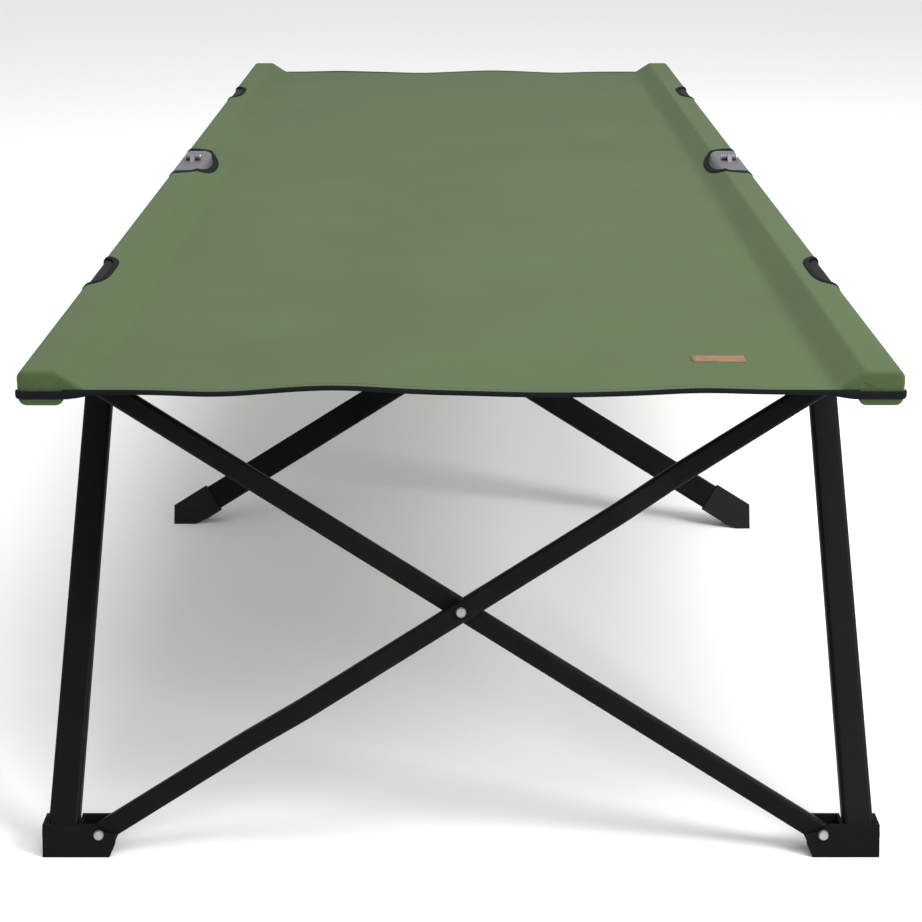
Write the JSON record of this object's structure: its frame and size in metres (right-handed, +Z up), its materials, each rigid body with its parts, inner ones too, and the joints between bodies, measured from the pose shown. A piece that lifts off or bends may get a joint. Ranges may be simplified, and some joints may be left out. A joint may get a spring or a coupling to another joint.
{
  "type": "folding cot",
  "caption": "Folding camp bed with a green fabric deck sleeved on two hinged side rails, carried by scissor frames and slanting legs that collapse.",
  "frame": {"origin": "on the floor, under the middle of the cot", "axes": "+X across the cot, +Y along it, +Z up"},
  "size_m": [0.8052, 2.2048, 0.4752],
  "materials": {
    "black_steel": "black powder coat, fine satin texture",
    "grey_steel": "light grey satin steel",
    "zinc_rivet": "zinc plated rivet heads",
    "black_plastic": "moulded, matte, lightly grained",
    "green_fabric": "olive green plain-weave polyester, matte",
    "black_binding": "black woven tape and piping",
    "tan_label": "plain tan leather-look patch with a stitched edge"
  },
  "bodies": {
    "rail_left_front": {"rail_left_front": "black_steel", "end_cap_left_front": "black_plastic", "hinge_fitting_left_front": "grey_steel", "leg_saddle_left_front": "black_steel", "rail_rivets_left_front": "zinc_rivet", "sleeve_left_front": "green_fabric", "deck_front": "green_fabric", "mid_bracket_left": "black_steel"},
    "swivel_left_front": {"swivel_left_front": "black_steel", "swivel_rivet_left_front": "zinc_rivet"},
    "foot_left_front": {"foot_bracket_left_front": "black_steel", "foot_rivets_left_front": "zinc_rivet"},
    "leg_left_front": {"outer_leg_left_front": "black_steel"},
    "rail_right_front": {"rail_right_front": "black_steel", "end_cap_right_front": "black_plastic", "hinge_fitting_right_front": "grey_steel", "leg_saddle_right_front": "black_steel", "rail_rivets_right_front": "zinc_rivet", "sleeve_right_front": "green_fabric", "mid_bracket_right": "black_steel"},
    "swivel_right_front": {"swivel_right_front": "black_steel", "swivel_rivet_right_front": "zinc_rivet"},
    "foot_right_front": {"foot_bracket_right_front": "black_steel", "foot_rivets_right_front": "zinc_rivet"},
    "leg_right_front": {"outer_leg_right_front": "black_steel"},
    "cross_a_front": {"cross_bar_a_front": "black_steel", "centre_rivet_front": "zinc_rivet"},
    "cross_b_front": {"cross_bar_b_front": "black_steel"},
    "rail_left_rear": {"rail_left_rear": "black_steel", "end_cap_left_rear": "black_plastic", "hinge_fitting_left_rear": "grey_steel", "leg_saddle_left_rear": "black_steel", "rail_rivets_left_rear": "zinc_rivet", "sleeve_left_rear": "green_fabric", "deck_rear": "green_fabric"},
    "swivel_left_rear": {"swivel_left_rear": "black_steel", "swivel_rivet_left_rear": "zinc_rivet"},
    "foot_left_rear": {"foot_bracket_left_rear": "black_steel", "foot_rivets_left_rear": "zinc_rivet"},
    "leg_left_rear": {"outer_leg_left_rear": "black_steel"},
    "rail_right_rear": {"rail_right_rear": "black_steel", "end_cap_right_rear": "black_plastic", "hinge_fitting_right_rear": "grey_steel", "leg_saddle_right_rear": "black_steel", "rail_rivets_right_rear": "zinc_rivet", "sleeve_right_rear": "green_fabric"},
    "swivel_right_rear": {"swivel_right_rear": "black_steel", "swivel_rivet_right_rear": "zinc_rivet"},
    "foot_right_rear": {"foot_bracket_right_rear": "black_steel", "foot_rivets_right_rear": "zinc_rivet"},
    "leg_right_rear": {"outer_leg_right_rear": "black_steel"},
    "cross_a_rear": {"cross_bar_a_rear": "black_steel", "centre_rivet_rear": "zinc_rivet"},
    "cross_b_rear": {"cross_bar_b_rear": "black_steel"},
    "mid_front": {"mid_bar_front": "black_steel", "mid_shoe_right": "black_plastic", "mid_rivet": "zinc_rivet"},
    "mid_rear": {"mid_bar_rear": "black_steel", "mid_shoe_left": "black_plastic"}
  },
  "joints": [
    {"name": "swivel_left_front_turn", "type": "hinge", "parent": "rail_left_front", "child": "swivel_left_front", "pos_m": [-0.3445, -0.97, 0.432], "axis": [1, 0, 0], "range_deg": [-0.05, 91.14]},
    {"name": "bar_a_front_top", "type": "hinge", "parent": "swivel_left_front", "child": "cross_a_front", "pos_m": [-0.3445, -0.97, 0.432], "axis": [0, -0.963, 0.2695], "range_deg": [-52.06, 0.05]},
    {"name": "frame_collapse", "type": "hinge", "parent": "cross_a_front", "child": "cross_b_front", "pos_m": [0, -1.028, 0.22475], "axis": [0, -0.963, 0.2695], "range_deg": [0, 104.01], "deforming": ["deck_front", "deck_rear"]},
    {"name": "swivel_right_front_pivot", "type": "hinge", "parent": "cross_b_front", "child": "swivel_right_front", "pos_m": [0.3445, -0.97, 0.432], "axis": [0, -0.963, 0.2695], "range_deg": [-52.06, 0.05]},
    {"name": "rail_right_front_turn", "type": "hinge", "parent": "swivel_right_front", "child": "rail_right_front", "pos_m": [0.3445, -0.97, 0.432], "axis": [1, 0, 0], "range_deg": [-91.14, 0.05]},
    {"name": "foot_right_front_pivot", "type": "hinge", "parent": "cross_a_front", "child": "foot_right_front", "pos_m": [0.3445, -1.086, 0.0175], "axis": [0, -0.963, 0.2695], "range_deg": [-0.05, 52.06]},
    {"name": "foot_left_front_pivot", "type": "hinge", "parent": "cross_b_front", "child": "foot_left_front", "pos_m": [-0.3445, -1.086, 0.0175], "axis": [0, -0.963, 0.2695], "range_deg": [-52.06, 0.05]},
    {"name": "leg_left_front_pivot", "type": "hinge", "parent": "foot_left_front", "child": "leg_left_front", "pos_m": [-0.3795, -1.086, 0.0175], "axis": [1, 0, 0], "range_deg": [-0.05, 23.48]},
    {"name": "leg_right_front_pivot", "type": "hinge", "parent": "foot_right_front", "child": "leg_right_front", "pos_m": [0.3795, -1.086, 0.0175], "axis": [1, 0, 0], "range_deg": [-0.05, 23.48]},
    {"name": "swivel_left_rear_turn", "type": "hinge", "parent": "rail_left_rear", "child": "swivel_left_rear", "pos_m": [-0.3445, 0.97, 0.432], "axis": [1, 0, 0], "range_deg": [-91.14, 0.05]},
    {"name": "bar_a_rear_top", "type": "hinge", "parent": "swivel_left_rear", "child": "cross_a_rear", "pos_m": [-0.3445, 0.97, 0.432], "axis": [0, 0.963, 0.2695], "range_deg": [-0.05, 52.06]},
    {"name": "swivel_right_rear_turn", "type": "hinge", "parent": "rail_right_rear", "child": "swivel_right_rear", "pos_m": [0.3445, 0.97, 0.432], "axis": [1, 0, 0], "range_deg": [-91.14, 0.05]},
    {"name": "bar_b_rear_top", "type": "hinge", "parent": "swivel_right_rear", "child": "cross_b_rear", "pos_m": [0.3445, 0.97, 0.432], "axis": [0, 0.963, 0.2695], "range_deg": [-52.06, 0.05]},
    {"name": "foot_right_rear_pivot", "type": "hinge", "parent": "cross_a_rear", "child": "foot_right_rear", "pos_m": [0.3445, 1.086, 0.0175], "axis": [0, 0.963, 0.2695], "range_deg": [-52.06, 0.05]},
    {"name": "foot_left_rear_pivot", "type": "hinge", "parent": "cross_b_rear", "child": "foot_left_rear", "pos_m": [-0.3445, 1.086, 0.0175], "axis": [0, 0.963, 0.2695], "range_deg": [-0.05, 52.06]},
    {"name": "leg_left_rear_pivot", "type": "hinge", "parent": "foot_left_rear", "child": "leg_left_rear", "pos_m": [-0.3795, 1.086, 0.0175], "axis": [1, 0, 0], "range_deg": [-23.48, 0.05]},
    {"name": "leg_right_rear_pivot", "type": "hinge", "parent": "foot_right_rear", "child": "leg_right_rear", "pos_m": [0.3795, 1.086, 0.0175], "axis": [1, 0, 0], "range_deg": [-23.48, 0.05]},
    {"name": "mid_bar_front_top", "type": "hinge", "parent": "rail_left_front", "child": "mid_front", "pos_m": [-0.3445, -0.04262, 0.4315], "axis": [0, -0.9177, 0.3974], "range_deg": [-52.06, 0.05]},
    {"name": "mid_bar_rear_top", "type": "hinge", "parent": "rail_right_front", "child": "mid_rear", "pos_m": [0.3445, -0.02738, 0.4249], "axis": [0, -0.9177, 0.3974], "range_deg": [-0.05, 52.06]},
    {"name": "rail_fold", "type": "hinge", "parent": "rail_left_front", "child": "rail_left_rear", "pos_m": [-0.3795, 0, 0.471], "axis": [1, 0, 0], "range_deg": [0, 180]},
    {"name": "rail_fold_right", "type": "hinge", "parent": "rail_right_front", "child": "rail_right_rear", "pos_m": [0.3795, 0, 0.471], "axis": [1, 0, 0], "range_deg": [-0.05, 180.05]}
  ],
  "couplings": [
    {"joint": "swivel_left_front_turn", "follows": "frame_collapse", "ratio": 0.8758},
    {"joint": "bar_a_front_top", "follows": "frame_collapse", "ratio": -0.5},
    {"joint": "swivel_right_front_pivot", "follows": "frame_collapse", "ratio": -0.5},
    {"joint": "rail_right_front_turn", "follows": "frame_collapse", "ratio": -0.8758},
    {"joint": "foot_right_front_pivot", "follows": "frame_collapse", "ratio": 0.5},
    {"joint": "foot_left_front_pivot", "follows": "frame_collapse", "ratio": -0.5},
    {"joint": "leg_left_front_pivot", "follows": "frame_collapse", "ratio": 0.2253},
    {"joint": "leg_right_front_pivot", "follows": "frame_collapse", "ratio": 0.2253},
    {"joint": "swivel_left_rear_turn", "follows": "frame_collapse", "ratio": -0.8758},
    {"joint": "bar_a_rear_top", "follows": "frame_collapse", "ratio": 0.5},
    {"joint": "swivel_right_rear_turn", "follows": "frame_collapse", "ratio": -0.8758},
    {"joint": "bar_b_rear_top", "follows": "frame_collapse", "ratio": -0.5},
    {"joint": "foot_right_rear_pivot", "follows": "frame_collapse", "ratio": -0.5},
    {"joint": "foot_left_rear_pivot", "follows": "frame_collapse", "ratio": 0.5},
    {"joint": "leg_left_rear_pivot", "follows": "frame_collapse", "ratio": -0.2253},
    {"joint": "leg_right_rear_pivot", "follows": "frame_collapse", "ratio": -0.2253},
    {"joint": "mid_bar_front_top", "follows": "frame_collapse", "ratio": -0.5},
    {"joint": "mid_bar_rear_top", "follows": "frame_collapse", "ratio": 0.5},
    {"joint": "rail_fold_right", "follows": "rail_fold", "ratio": 1}
  ]
}
